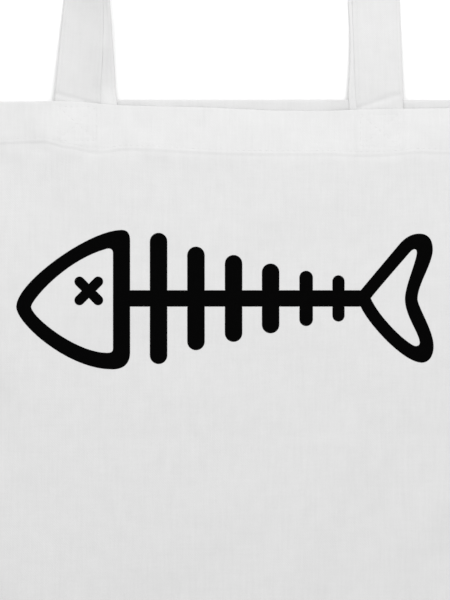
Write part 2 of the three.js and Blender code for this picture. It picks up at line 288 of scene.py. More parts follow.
def puckers(x, y):
    """Folds that the sewing draws in square to the seams, and drag lines at the corners."""
    side = HALF - np.abs(x)
    along_side = y + np.where(x < 0, 0, RIGHT_FOLDS)
    height = 0 * x
    for distance, place, reach, amount, seed in (
        (side, along_side, 24, 1.25, 3),
        (y, x + BOTTOM_FOLDS, 26, 1.35, 5),
    ):
        start = 1 - np.exp(-distance / 5)
        fine = noise_line(place + 0.35 * distance, seed, 9) * np.exp(-distance / (0.5 * reach))
        broad = noise_line(place - 0.25 * distance, seed + 1, 23) * np.exp(-distance / (1.5 * reach))
        height = height + amount * start * (0.45 * fine + broad)
    for hand, seed in ((-1, 11), (1, 12)):
        dx, dy = HALF - hand * x, y
        r = np.hypot(dx, dy)
        turn = np.arctan2(dy, dx)
        drag = noise_line(turn, seed, 0.16) * np.exp(-r / 75) * (1 - np.exp(-r / 30))
        height = height + 3.2 * drag
    return height * (1 - smoothstep(y, *PUCKERS_END)) * (1 - 0.8 * ironed(x, y))


def undulation(x, y):
    """Unevenness of cloth that was folded and stored: more outside the ironed middle."""
    slow = noise_field(x, y, 21, 85) + 0.5 * noise_field(x, y, 22, 43)
    wrinkles = noise_field(x, 0.6 * y, 23, 9)
    fine = noise_field(x, 0.7 * y, 25, 4.5) * smoothstep(y, 230, 330)
    in_hem = (0.5 * wrinkles + 0.55 * noise_field(x, y, 24, 14)) * smoothstep(y, 385, 395)
    height = slow * (0.12 + 0.5 * (1 - ironed(x, y))) + 0.05 * wrinkles + 0.055 * fine + in_hem
    return height * smoothstep(HALF - np.abs(x), 0, 30) * smoothstep(y, 0, 30)


def fold_crease(x, y):
    """The line left by an old fold across the bag. It fades towards the left."""
    line = CREASE_Y + 0.8 * noise_line(x, 31, 60)
    return -0.16 * np.exp(-np.abs(y - line) / 4) * smoothstep(x, -110, -70)


# The front handle's ends behind the hem: the x of their edges, and how far they raise the hem
FEET = {"left": (-92.3, -67.3), "right": (68.9, 93.9)}
RELIEF = 0.42
HEM_RISE = 0.35  # how far the hem's turned edge raises it
ROW_DEPTH, BOX_DEPTH = 0.05, 0.12  # how far the hem's stitches and the boxes' draw it in
HEM_ROW = 2.2  # from the hem's lower edge to its row of stitches
BOX_INSET, BOX_BOTTOM, BOX_TOP = 2.2, 4.6, 2.6  # from a tape's edges, the hem's lower edge and the mouth


def hem_relief(x, y):
    """What the hem's extra layers raise: its own turn, and the tape ends behind it."""
    hem = through(HEM_LINE, x)
    turn = HEM_RISE * smoothstep(y - hem, -0.5, 0.4)
    row = -ROW_DEPTH * np.exp(-(((y - hem - HEM_ROW) / 0.7) ** 2))
    height = turn + row
    for low, high in FEET.values():
        across = smoothstep(x, low - 0.9, low + 0.7) * (1 - smoothstep(x, high - 0.7, high + 0.9))
        away = np.min([distance_to(x, y, start, stop) for start, stop in box_seams(low, high)], axis=0)
        seams = -BOX_DEPTH * np.exp(-((away / 0.8) ** 2))
        height = height + RELIEF * across * smoothstep(y - hem, -0.4, 4.5) + seams
    return height


def box_seams(low, high):
    """The lines of the stitched box with a cross that holds a tape, as pairs of points."""
    left, right = low + BOX_INSET, high - BOX_INSET
    middle = (low + high) / 2
    bottom = float(through(HEM_LINE, middle)) + BOX_BOTTOM
    top = float(through(MOUTH_LINE, middle)) - BOX_TOP
    corners = [(left, bottom), (right, bottom), (right, top), (left, top)]
    return [*zip(corners, corners[1:] + corners[:1]), *zip(corners[:2], corners[2:])]


# ------ how the front panel settles
SETTLE_STEP = 5
SETTLE_TOP = 395
SETTLE_FRAMES = 16
SETTLE_LIMIT = 5.0  # the longest shift that is taken over
SLACK = 0.011  # how much more cloth there is near the seams than the smooth shape needs
UNEVENNESS = 0.5  # of the start, so that the slack has a way to go


def ironed(x, y):
    """How flat the cloth was ironed: 1 in the upper middle, 0 towards the seams."""
    reach = 114 + 19 * smoothstep(y, 310, 380)
    return (1 - smoothstep(np.abs(x), reach, reach + 47)) * smoothstep(y, 60, 130)


def crowned(x, y):
    """The height of the front's smooth shape."""
    return FRONT_SEAM + (FRONT_TOP - FRONT_SEAM) * rim_rise(HALF - np.abs(x)) * rim_rise(y)


def cloth_settings(cloth):
    cloth.quality = 6
    cloth.mass = 0.3
    cloth.tension_stiffness = cloth.compression_stiffness = 15
    cloth.shear_stiffness = cloth.bending_stiffness = cloth.air_damping = 5
    cloth.shrink_min, cloth.shrink_max = -SLACK, 0
    cloth.vertex_group_shrink = "ironed"
    cloth.vertex_group_mass = "held"
    cloth.effector_weights.gravity = 0


def settled_front():
    """How far a cloth simulation carries the front from its smooth shape, as a coarse grid."""
    x, y = np.meshgrid(np.arange(-HALF, HALF + 1, SETTLE_STEP), np.arange(0, SETTLE_TOP + 1, SETTLE_STEP))
    rows, columns = x.shape
    off_edge = np.minimum(1, np.minimum(HALF - np.abs(x), y) / 30)
    height = crowned(x, y)
    start = np.stack([x, y, height], -1)
    uneven = np.stack([x, y, height + UNEVENNESS * off_edge * noise_field(x, y, 7, 34)], -1)
    mesh = bpy.data.meshes.new("settling")
    mesh.from_pydata((uneven.reshape(-1, 3) * MM).tolist(), [], grid_quads(columns, rows).tolist())
    piece = added("settling", mesh)
    held = (np.abs(x) >= HALF) | (y <= 0) | (y >= SETTLE_TOP - SETTLE_STEP)
    piece.vertex_groups.new(name="held").add(np.flatnonzero(held).tolist(), 1, "REPLACE")
    flat = piece.vertex_groups.new(name="ironed")
    for point, share in enumerate(ironed(x, y).ravel()):
        flat.add([point], float(share), "REPLACE")
    cloth = piece.modifiers.new("cloth", "CLOTH")
    cloth_settings(cloth.settings)
    cloth.collision_settings.use_collision = False
    cloth.point_cache.frame_end = SETTLE_FRAMES
    for step in range(1, SETTLE_FRAMES + 1):
        bpy.context.scene.frame_set(step)
    settled = piece.evaluated_get(bpy.context.evaluated_depsgraph_get()).data
    places = np.empty(len(settled.vertices) * 3)
    settled.vertices.foreach_get("co", places)
    bpy.data.objects.remove(piece)
    bpy.data.meshes.remove(mesh)
    bpy.context.scene.frame_set(1)
    return np.clip(places.reshape(start.shape) / MM - start, -SETTLE_LIMIT, SETTLE_LIMIT)


def cubic_weights(f):
    """The weights of four even points, at a share f of the way from the second to the third."""
    return (
        f * (f * (1 - f / 2) - 0.5),
        1 + f * f * (1.5 * f - 2.5),
        f * (0.5 + f * (2 - 1.5 * f)),
        0.5 * f * f * (f - 1),
    )


def shift_at(grid, x, y):
    """The shift at places on the cloth, smoothly between the grid's points."""
    tx = np.clip((x + HALF) / SETTLE_STEP, 0, grid.shape[1] - 1)
    ty = np.clip(y / SETTLE_STEP, 0, grid.shape[0] - 1)
    i, j = np.floor(tx).astype(int), np.floor(ty).astype(int)
    total = 0
    for b, along in enumerate(cubic_weights(ty - j)):
        row = np.clip(j + b - 1, 0, grid.shape[0] - 1)
        for a, across in enumerate(cubic_weights(tx - i)):
            column = np.clip(i + a - 1, 0, grid.shape[1] - 1)
            total = total + (along * across)[..., None] * grid[row, column]
    return total


# The lip that turns in along a seam, as (distance in from the edge, how far it has turned down)
LIP_INSET, LIP_DROP = np.array([(0.25, 0.16), (0.8, 0.3), (2.2, 0.32)]).T
RIM_ROWS = 16
GRID_STEP = 2
FINE_STEP = 0.8  # near the tapes' feet and in the hem
FINE_FROM = 381  # y of the first fine row
FINE_REACH = 3.2  # of the fine columns beyond a foot's edges


def rim_steps():
    """Distances from a seam, close together near it."""
    return RIM * (np.arange(RIM_ROWS) / RIM_ROWS) ** 1.6


def panel_columns():
    """x of each column, and how far it has turned into the seam's lip."""
    rim = rim_steps()
    parts, reached = [rim - HALF], RIM - HALF
    for low, high in FEET.values():
        start, stop = low - FINE_REACH, high + FINE_REACH
        parts += [spaced(reached, start - FINE_STEP, GRID_STEP), spaced(start, stop, FINE_STEP)]
        reached = stop + FINE_STEP
    x = np.concatenate([*parts, spaced(reached, HALF - RIM, GRID_STEP), (HALF - rim)[::-1]])
    turned = np.concatenate([LIP_DROP[::-1], np.zeros(len(x)), LIP_DROP])
    return np.concatenate([(LIP_INSET - HALF)[::-1], x, HALF - LIP_INSET]), turned


def panel_rows(top):
    """The same for y of each row. There is no lip at the top."""
    coarse, fine = spaced(RIM, FINE_FROM - 1, GRID_STEP), spaced(FINE_FROM, top, FINE_STEP)
    y = np.concatenate([rim_steps(), coarse, fine])
    return np.concatenate([LIP_INSET[::-1], y]), np.concatenate([LIP_DROP[::-1], np.zeros(len(y))])


def front_surface(x, y, shift):
    """The middle of the front panel's cloth at places on its flat cut."""
    px, py = rounded_corner(x, sagged(x, y))
    share = 1 - CORNER_STAND * (1 - smoothstep(x, *CORNER_EDGE))
    fall = (1 - MOUTH_SHARE) * share * ramp(y, *MOUTH_FALL, FALL_EASE)
    z = FRONT_SEAM + (crowned(x, y) - FRONT_SEAM) * (1 - fall)
    z = z + puckers(x, y) + undulation(px, py) + fold_crease(px, py) + hem_relief(px, py) + shift[..., 2]
    z = FRONT_SEAM + SOFT_STOP * np.logaddexp(0, (z - FRONT_SEAM) / SOFT_STOP)
    return np.stack([px + shift[..., 0], py + shift[..., 1], z], -1)


def back_surface(x, y, shift):
    """The middle of the back panel's cloth, with its folds from the front's shift."""
    px, py = rounded_corner(x, y)
    near_mouth = smoothstep(y, BACK_RISE_START, BAG_HEIGHT)
    folds = BACK_FOLDS * np.maximum(0, shift[..., 2])
    z = BACK_LEVEL + through(BACK_MOUTH, x) * near_mouth + folds
    return np.stack([px, py + through(BACK_REACH, x) * near_mouth, z], -1)


FOLD_POINTS = 7  # round the fold, with its two ends
INNER_ROWS = 30  # the panel's rows that the hem's inner layer follows
INNER_WIDTH = 0.985  # of that layer, as a share of the panel's, to clear the side seams


def turned_in(surface, side):
    """A panel with its mouth's fold and the hem's inner layer. side is 1 for the front, else -1."""
    normal = grid_normals(surface)
    outward = side * normal[-1] * LAYER_STEP / 2
    forward = np.array([0, LAYER_STEP / 2, 0])
    fold = [
        surface[-1] - outward + outward * math.cos(a) + forward * math.sin(a)
        for a in np.linspace(0, math.pi, FOLD_POINTS)[1:-1]
    ]
    inner = surface[-INNER_ROWS:][::-1] - side * normal[-INNER_ROWS:][::-1] * LAYER_STEP
    return np.concatenate([surface, np.array(fold), inner * (INNER_WIDTH, 1, 1)])


BACK_CLOTH = 700  # from the front's place on the woven cloth to the back's


def build_panels(cotton):
    x, lip_x = panel_columns()
    y, lip_y = panel_rows(BAG_HEIGHT - LAYER_STEP / 2)
    gx, gy = np.meshgrid(x, y)
    lip = np.maximum(*np.meshgrid(lip_x, lip_y))
    shift = shift_at(settled_front(), gx, gy)
    made = {}
    for name, shape, side in (("front_cloth", front_surface, 1), ("back_cloth", back_surface, -1)):
        surface = shape(gx, gy, shift)
        surface[..., 2] -= side * lip
        surface = turned_in(surface, side)
        extra = len(surface) - len(y)
        cloth_y = np.concatenate([y, BAG_HEIGHT + FINE_STEP * np.arange(extra)])
        cloth = np.stack(np.meshgrid(x, cloth_y), -1)
        if side < 0:
            cloth[..., 0] += BACK_CLOTH
        made[name] = layer_piece(name, surface, cloth, CLOTH, cotton)
    return made


# ------ the handles
# Each leg's way into the loop along x, its outer edge's x at the mouth and that edge's lean into the loop for
# each millimetre. The tape rolls over between two distances from the mouth, until it stands on that edge.
# The shifts are how far the back handle lies inside the front one, as (distance, shift).
LEGS = {
    "left": {
        "inward": 1, "foot": -92.3, "lean": 0.09, "roll": (2, 166),
        "shifts": [(3, 8.7), (12, 7.4), (34, 4.4), (54, 3.6), (110, 0)],
    },
    "right": {
        "inward": -1, "foot": 94.1, "lean": 0.03, "roll": (57, 236),
        "shifts": [(3, 3.9), (12, 3.1), (18, 2.6), (26, 2), (40, 1.7), (54, 2.1), (110, 0)],
    },
}
ROLL_EASE = 9  # length of the bend that starts the roll
STANDING = 90  # degrees that it rolls
LEFT_WIDTH, RIGHT_WIDTH = 24.1, 25.4  # of the tape once it is clear of the hem
TAPE_STEP = 0.86  # from the back tape's middle to the front tape's, square to their faces
FREE_FROM = 3  # the distance from the mouth at which a tape is free of the hem
LANDING = 75  # the distance at which it is down on the floor
BACK_TAPE_BOTTOM = 5.6  # level of the back tape's underside at the mouth
# How far up the left leg turns the back tape's edge that shows beside the front tape, as
# (distance, height), and the width over which it turns
INNER_EDGE = [(-10, 0), (-1, 0.9), (13, -2), (62, 0.3)]
INNER_EDGE_REACH = 3


def arch():
    """The front handle's outer edge: its arch's radius, middle and length, and each leg's length."""
    top = HANDLE_RISE - TAPE_THICKNESS / 2
    left, right = LEGS.values()
    angles = [math.atan(leg["lean"]) for leg in (left, right)]
    shares = [(1 - math.sin(a)) / math.cos(a) for a in angles]
    radius = (right["foot"] - left["foot"] - top * (left["lean"] + right["lean"])) / sum(shares)
    middle = np.array((left["foot"] + top * left["lean"] + radius * shares[0], top - radius, 0))
    lengths = [(middle[1] + radius * math.sin(a)) / math.cos(a) for a in angles]
    return radius, middle, radius * (math.pi - sum(angles)), dict(zip(LEGS, lengths))


ARCH_RADIUS, ARCH_MIDDLE, ARCH_LENGTH, LEG_LENGTHS = arch()
EDGE_LENGTH = sum(LEG_LENGTHS.values()) + ARCH_LENGTH


def leg_at(distance):
    """Which leg a place on a handle belongs to, and its distance from the mouth."""
    if distance < EDGE_LENGTH / 2:
        return "left", distance
    return "right", EDGE_LENGTH - distance


def edge_at(distance):
    """A point on that edge, from the mouth up, and the direction into the loop."""
    hand, near = leg_at(distance)
    leg = LEGS[hand]
    inward, lean = leg["inward"], math.atan(leg["lean"])
    if near < LEG_LENGTHS[hand]:
        point = (leg["foot"] + inward * near * math.sin(lean), near * math.cos(lean), 0)
        return np.array(point), np.array((inward * math.cos(lean), -math.sin(lean), 0))
    turned = lean + (near - LEG_LENGTHS[hand]) / ARCH_RADIUS
    outward = np.array((-inward * math.cos(turned), math.sin(turned), 0))
    return ARCH_MIDDLE + ARCH_RADIUS * outward, -outward


def tape_shift(distance, is_front):
    """How far a tape lies inside the front one."""
    if is_front:
        return 0
    hand, near = leg_at(distance)
    return through(LEGS[hand]["shifts"], near)


def tape_section(distance, is_front):
    """A tape's lower outer edge at a distance along it, the direction across it and its normal."""
    hand, near = leg_at(distance)
    roll = math.radians(STANDING * ramp(near, *LEGS[hand]["roll"], ROLL_EASE))
    point, inward = edge_at(distance)
    up = np.array((0.0, 0.0, 1.0))
    across = inward * math.cos(roll) + up * math.sin(roll)
    normal = up * math.cos(roll) - inward * math.sin(roll)
    held_up = BACK_TAPE_BOTTOM * (1 - smoothstep(near, FREE_FROM, LANDING))
    edge = point + up * ((TAPE_STEP + TAPE_THICKNESS / 2) * math.cos(roll) + held_up)
    if not is_front:
        edge = edge + across * tape_shift(distance, is_front) - normal * TAPE_STEP
    return edge + (0, BAG_HEIGHT, 0), across, normal


TAPE_EDGE_ROW = 2.0  # from the tape's edge to its row of stitches
ROW_PRESS, ROW_WIDTH = 0.11, 0.45  # of that row's groove: a share of the thickness, and half its width
SECTION = [0, 0.12, 0.4, 0.9, 1.4, 1.7, 2.0, 2.3, 2.6, 3.2, 4.5, 7, 10, 12.5]  # points from edge to middle
PRESSED = 0.7  # the share of its room that a tape fills
THIN_EDGE = 0.5  # the share of its thickness that is left at an edge
OUTER_ROUNDING = 1.2  # the width over which it thins to that at the outer edge
INNER_ROUNDING = {True: 3.4, False: 1.2}  # the same at the front tape's inner edge and the back tape's
# The creases where each leg starts to roll, as pairs of (distance from the mouth, place across the tape)
CREASES = {
    (True, "left"): [((4.6, -1), (0.2, 26))],
    (True, "right"): [((3.6, 2), (-3.4, 27)), ((4.6, 5), (0.8, 12))],
}
CREASE_DEPTH, CREASE_WIDTH = 0.42, 1.1


def tape_width(distance):
    """How wide the tape is, as a share of its flat width."""
    near = min(distance, EDGE_LENGTH - distance)
    along = smoothstep(distance, 60, EDGE_LENGTH - 60)
    free = LEFT_WIDTH + (RIGHT_WIDTH - LEFT_WIDTH) * along
    return (TAPE_WIDTH + (free - TAPE_WIDTH) * smoothstep(near, -2, 10)) / TAPE_WIDTH


def thinned(distance, reach):
    """What is left of a tape's thickness at a distance from an edge, rounded over a reach."""
    return 1 - (1 - THIN_EDGE) * (1 - np.clip(distance / reach, 0, 1)) ** 2


def tape_profile():
    """Places across a tape with a row of stitches along each edge, and its half thickness there."""
    across = np.array(SECTION + [TAPE_WIDTH - w for w in SECTION[-2::-1]], float)
    edge = np.minimum(across, TAPE_WIDTH - across)
    row = 1 - ROW_PRESS * np.exp(-(((edge - TAPE_EDGE_ROW) / ROW_WIDTH) ** 2))
    puffed = 1 + 0.06 * smoothstep(edge, 3, 9)
    half = TAPE_THICKNESS / 2 * PRESSED * row * puffed * thinned(across, OUTER_ROUNDING)
    return across, {
        is_front: half * thinned(TAPE_WIDTH - across, reach) for is_front, reach in INNER_ROUNDING.items()
    }


ACROSS, HALF_THICKNESS = tape_profile()


def crease_depth(is_front, distance):
    """How deep the creases are at each place across a tape."""
    hand, near = leg_at(distance)
    depth = 0 * ACROSS
    for start, stop in CREASES.get((is_front, hand), []):
        away = distance_to(near, ACROSS, start, stop)
        depth = depth + CREASE_DEPTH * np.exp(-((away / CREASE_WIDTH) ** 2))
    return depth


def tape_lift(distance, is_front):
    """How far bending, waves and creases lift a tape at each place across it."""
    hand, near = leg_at(distance)
    place = ACROSS + tape_shift(distance, is_front)
    free = smoothstep(near, 4, 30)
    wave = 0.12 * free * noise_line(distance + place * 0.6, 41, 14)
    arched = np.clip(1 - (2 * place / TAPE_WIDTH - 1) ** 2, 0, 1)
    cup = 0.35 * free * noise_line(distance, 42, 60) * arched
    lift = wave + cup - crease_depth(is_front, distance)
    if hand == "left":
        lift = lift + through(INNER_EDGE, near) * np.clip((place - TAPE_WIDTH) / INNER_EDGE_REACH, 0, 1)
    return lift


def tape_middles(distance, is_front):
    """The points midway between a tape's faces in one section, and its normal."""
    edge, sideways, normal = tape_section(distance, is_front)
    half = HALF_THICKNESS[is_front]
    lift = tape_lift(distance, is_front) + half - max(half)
    return edge + np.outer(ACROSS * tape_width(distance), sideways) + np.outer(lift, normal), normal


FOOT = (-6, 30)  # distances from the mouth between which a tape has fine sections


def tape_stations():
    """The distances along a tape of its sections, from one sewn end to the other."""
    foot = np.concatenate([[-SEWN], spaced(*FOOT, FINE_STEP)])
    start = FOOT[1] + GRID_STEP
    return np.concatenate([foot, spaced(start, EDGE_LENGTH - start, GRID_STEP), EDGE_LENGTH - foot[::-1]])


def build_tape(name, is_front, material):
    """A folded tape as a closed skin."""
    rings, cloth = [], []
    for distance in tape_stations():
        middle, normal = tape_middles(distance, is_front)
        over = middle + np.outer(HALF_THICKNESS[is_front], normal)
        under = middle - np.outer(HALF_THICKNESS[is_front], normal)
        rings.append(np.concatenate([over, under[::-1]]))
        places = np.stack([ACROSS, distance + 0 * ACROSS], 1)
        cloth.append(np.concatenate([places, places[::-1]]))
    ring = len(rings[0])
    faces = ring_quads(len(rings), ring).tolist()
    for start, turn in ((0, -1), ((len(rings) - 1) * ring, 1)):
        for i in range(ring // 2 - 1):
            quad = [start + i, start + i + 1, start + ring - 2 - i, start + ring - 1 - i]
            faces.append(quad[::turn])
    return mesh_piece(name, np.concatenate(rings), faces, np.concatenate(cloth), material)


# ------ the inside seams
ALLOWANCE_WIDTH = 8  # of the part that lies clear of the seam
ALLOWANCE_IN = SEAM_ALLOWANCE - ALLOWANCE_WIDTH / 2  # from the seam to that part's middle
ALLOWANCE_LEVEL = 1.6
ALLOWANCE_THICKNESS = 1
ALLOWANCE_ENDS = (18, 390)  # y of the side seams' ends
BOTTOM_END = 170  # x of the bottom seam's right end


def build_allowance(name, start, stop, seed, material):
    """Two raw layers of seam allowance lying on the back panel, a little wavy, along a line."""
    start, stop = np.array(start, float), np.array(stop, float)
    length = np.linalg.norm(stop - start)
    ahead = (stop - start) / length
    sideways = np.array([-ahead[1], ahead[0]])
    t = spaced(0, length, 4)
    half = ALLOWANCE_WIDTH / 2
    w = np.linspace(-half, half, 7)
    gw, gt = np.meshgrid(w, t)
    ripple = 0.3 * noise_line(gt, seed, 11) * smoothstep(gw, -half, half)
    plan = start + ahead * gt[..., None] + sideways * gw[..., None]
    surface = np.dstack([plan, ALLOWANCE_LEVEL + ripple])
    return layer_piece(name, surface, np.stack([gw, gt], -1), ALLOWANCE_THICKNESS, material)


def build_allowances(material):
    """The inside of the two side seams and of the bottom seam."""
    x = HALF - ALLOWANCE_IN
    low, high = ALLOWANCE_ENDS
    return {
        "side_seam_left": build_allowance("left_allowance", (-x, high), (-x, low), 14, material),
        "side_seam_right": build_allowance("right_allowance", (x, low), (x, high), 15, material),
        "bottom_seam": build_allowance(
            "bottom_allowance", (-BOTTOM_END, ALLOWANCE_IN), (BOTTOM_END, ALLOWANCE_IN), 16, material
        ),
    }


# ------ stitches
# A thread's rings, as (place along it, share of its radius, height)
STITCH_RINGS = [(-0.5, 0.2, -0.16), (-0.34, 0.85, -0.02), (0, 1, 0), (0.34, 0.85, -0.02), (0.5, 0.2, -0.16)]
STITCH_SIDES = 6
STITCH_RADIUS = 0.11


def stitch_mesh(name, places, directions, normals, length, material):
    """One small bowed thread for each place."""
    places, directions, normals = (np.asarray(v, float) for v in (places, directions, normals))
    sideways = np.cross(normals, directions)
    turn = np.arange(STITCH_SIDES) * 2 * math.pi / STITCH_SIDES
    rings = []
    for along, size, rise in STITCH_RINGS:
        middle = places + directions * along * length + normals * rise
        for a in turn:
            rings.append(middle + STITCH_RADIUS * size * (sideways * math.cos(a) + normals * math.sin(a)))
    points = np.stack(rings, 1).reshape(-1, 3)
    starts = np.arange(0, len(points), len(rings))
    one = ring_quads(len(STITCH_RINGS), STITCH_SIDES)
    faces = (starts[:, None, None] + one).reshape(-1, 4).tolist()
    cap = np.arange(STITCH_SIDES)
    for start in starts:
        faces.append((start + cap)[::-1].tolist())
        faces.append((start + len(rings) - STITCH_SIDES + cap).tolist())
    return mesh_piece(name, points, faces, points[:, :2], material)


def along_lines(lines, pitch):
    """Middles and directions of stitches along pairs of points."""
    middles, directions = [], []
    for start, stop in lines:
        start, stop = np.array(start, float), np.array(stop, float)
        length = np.linalg.norm(stop - start)
        count = max(1, int(length / pitch))
        for k in range(count):
            middles.append(start + (stop - start) * (k + 0.5) / count)
            directions.append((stop - start) / length)
    return np.array(middles), np.array(directions)


def on_surface(tree, plan, directions):
    """Places, directions and normals on the cloth below points seen from above."""
    places, ways, normals = [], [], []
    for (x, y), (dx, dy) in zip(plan, directions):
        above = Vector((x * MM, (y - ORIGIN_Y) * MM, 0.1))
        hit, normal, _, _ = tree.ray_cast(above, Vector((0, 0, -1)))
        way = Vector((dx, dy, 0))
        places.append(np.array(hit) / MM + (0, ORIGIN_Y, 0))
        ways.append((way - normal * way.dot(normal)).normalized())
        normals.append(normal)
    return np.array(places), np.array(ways), np.array(normals)


def tree_of(piece):
    bpy.context.view_layer.update()
    return BVHTree.FromObject(piece, bpy.context.evaluated_depsgraph_get())


def build_stitching(front, thread):
    """The rows of stitches that show on the front: the hem's, and the boxes that hold its handle."""
    tree = tree_of(front)
    xs = spaced(-HALF + 3, HALF - 3, 3)
    hem_points = np.stack([xs, through(HEM_LINE, xs) + HEM_ROW], 1)
    # The lines of each seam, the pitch of its stitches and their length
    seams = {"hem": (zip(hem_points[:-1], hem_points[1:]), 4, 2.4)}
    for hand, (low, high) in FEET.items():
        seams[f"{hand}_box"] = (box_seams(low, high), 2.8, 2.2)
    made = []
    for name, (lines, pitch, length) in seams.items():
        middles, ways = along_lines(lines, pitch)
        made.append(stitch_mesh(f"{name}_stitches", *on_surface(tree, middles, ways), length, thread))
    return made


def build_tape_stitches(name, is_front, thread):
    """The two rows of stitches along a tape, on both of its faces."""
    places, ways, normals = [], [], []
    for row in (TAPE_EDGE_ROW, TAPE_WIDTH - TAPE_EDGE_ROW):
        at = int(np.argmin(np.abs(ACROSS - row)))
        for distance in spaced(FREE_FROM + 1, EDGE_LENGTH - FREE_FROM - 1, 3):
            middle, normal = tape_middles(distance, is_front)
            ahead = tape_middles(distance + 0.5, is_front)[0][at] - middle[at]
            ahead /= np.linalg.norm(ahead)
            for face in (1, -1):
                places.append(middle[at] + normal * face * (HALF_THICKNESS[is_front][at] + 0.03))
                ways.append(ahead)
                normals.append(normal * face)
    return stitch_mesh(name, places, ways, normals, 2.4, thread)


# ------ the print
# Its own axes start where the spine leaves the head, with x along the spine.
PRINT_PLACE = (-51.7, 315)
SPINE_LENGTH = 122.9
SPINE_WIDTH = 8.4
# Each rib's place along the spine, its width and its length
RIBS = [
    (15.3, 9, 69.5), (35.2, 9, 54.8), (55.2, 9, 45.9), (74.9, 9, 36.8), (93.8, 6.9, 29.1), (111, 6.2, 24.3),
]
EYE_AT, EYE_REACH, EYE_RADIUS = (-21.8, 4), 4.95, 2.55
FILM = 0.12  # the thickness of the ink
FILM_GAP = 0.02  # between the cloth and the ink's underside
INK_SPREAD = 0.14  # how far the ink has run beyond the drawn outline

# An outline is a ring of curves, each with two handles and an end. A lone point ends a line.
HEAD_OUTSIDE = [
    [(-60.2, 8.5), (-21.6, 36.3), (-4.4, 36.3)],
    [(-1.6, 36.3), (0, 34.8), (0, 30.7)],
    [(0, -28.6)],
    [(0, -34.5), (-3.2, -37.6), (-9.5, -37.6)],
    [(-32.7, -37.6), (-60.2, -13.2), (-60.2, -4.4)],
]
HEAD_INSIDE = [
    [(-52.6, -1.2), (-35.2, 20.1), (-12.6, 26.5)],
    [(-10.2, 27.2), (-8.8, 26.2), (-8.8, 23.8)],
    [(-8.8, -26.4)],
    [(-8.8, -28.4), (-9.8, -29.1), (-12.1, -29.1)],
    [(-28.6, -29.1), (-52.6, -9.8), (-52.6, -4.4)],
]
TAIL_OUTSIDE = [
    [(142.9, 28)],
    [(145.7, 31.4), (149.1, 34.3), (154.1, 34.3)],
    [(158.6, 34.3), (161, 31.3), (161, 26)],
    [(161, 18.7), (152.9, 7.4), (152.9, -0.2)],
    [(152.9, -4.6), (161.4, -17), (161.4, -25.4)],
    [(161.4, -30.4), (159.1, -34), (155.2, -34)],
    [(145.9, -34), (127.2, -13.9), (122.9, -4.2)],
    [(122.9, 4.2)],
]
TAIL_INSIDE = [
    [(129.6, 2.4), (137, 11), (148.2, 23.9)],
    [(150.5, 26.9), (152.8, 27.2), (152.8, 24.4)],
    [(152.8, 20.1), (146.5, 6.5), (146.5, -0.3)],
    [(146.5, -9.2), (154.3, -18.6), (154.3, -23.5)],
    [(154.3, -24.8), (153.4, -25.5), (152.1, -25.5)],
    [(148.8, -25.5), (133.3, -11.6), (128, 0.1)],
]


def traced(outline, steps=18):
    """The points of a ring of lines and curves."""
    points = []
    for before, curve in zip(outline[-1:] + outline[:-1], outline):
        if len(curve) == 1:
            points += curve
            continue
        p0, p1, p2, p3 = np.array([before[-1], *curve], float)
        for t in np.linspace(0, 1, steps + 1)[1:]:
            u = 1 - t
            points.append(tuple(u**3 * p0 + 3 * u * u * t * p1 + 3 * u * t * t * p2 + t**3 * p3))
    return points


def arc(middle, radius, start, stop, steps=14):
    """Points along an arc between two angles."""
    return [
        (middle[0] + radius * math.cos(a), middle[1] + radius * math.sin(a))
        for a in np.linspace(start, stop, steps + 1)
    ]


def bones_outline():
    """The spine and its ribs: along the upper ends to the tail, and back along the lower ones."""
    half = SPINE_WIDTH / 2
    points = [(0.0, -half), (0.0, half)]
    for side, ribs in ((1, RIBS), (-1, RIBS[::-1])):
        for at, width, length in ribs:
            radius = width / 2
            centre = side * (length / 2 - radius)
            points.append((at - side * radius, side * half))
            points += arc((at, centre), radius, math.pi if side > 0 else 0, 0 if side > 0 else -math.pi)
            points.append((at + side * radius, side * half))
        if side > 0:
            points += [(SPINE_LENGTH, half), (SPINE_LENGTH, -half)]
    return points


def eye_outline():
    """A cross of four round-ended arms."""
    points = []
    notch = EYE_RADIUS * math.sqrt(2)
    reach = EYE_REACH * math.sqrt(2)
    for arm in range(4):
        a = math.pi / 4 + arm * math.pi / 2
        tip = (EYE_AT[0] + reach * math.cos(a), EYE_AT[1] + reach * math.sin(a))
        points += arc(tip, EYE_RADIUS, a - math.pi / 2, a + math.pi / 2)
        points += arc(EYE_AT, notch, a + math.pi / 4, a + math.pi / 4, 0)
    return points


def closely(ring, step=2):
    """The ring with points added along its longer edges."""
    points = []
    for start, stop in zip(ring, ring[1:] + ring[:1]):
        count = max(1, math.ceil(math.dist(start, stop) / step))
        points += np.linspace(start, stop, count, endpoint=False).tolist()
    return points


def spread(ring, amount):
    """The ring moved outwards by an amount, as ink spreads in cloth."""
    points = np.array(ring)
    ahead = np.roll(points, -1, 0) - np.roll(points, 1, 0)
    ahead /= np.linalg.norm(ahead, axis=1, keepdims=True)
    x, y = points.T
    turn = np.sign(np.sum(x * np.roll(y, -1) - np.roll(x, -1) * y))
    return (points + turn * amount * ahead[:, ::-1] * (1, -1)).tolist()


def inside(ring, points):
    """Which points lie inside a ring, by counting the edges to their right."""
    x, y = points.T
    found = np.zeros(len(points), bool)
    for (ax, ay), (bx, by) in zip(ring, ring[1:] + ring[:1]):
        crosses = (ay > y) != (by > y)
        if crosses.any():
            found ^= crosses & (x < (bx - ax) * (y - ay) / (by - ay + 1e-12) + ax)
    return found


def within(rings, points):
    """Which points lie inside the first ring and outside the others."""
    found = inside(rings[0], points)
    for ring in rings[1:]:
        found &= ~inside(ring, points)
    return found


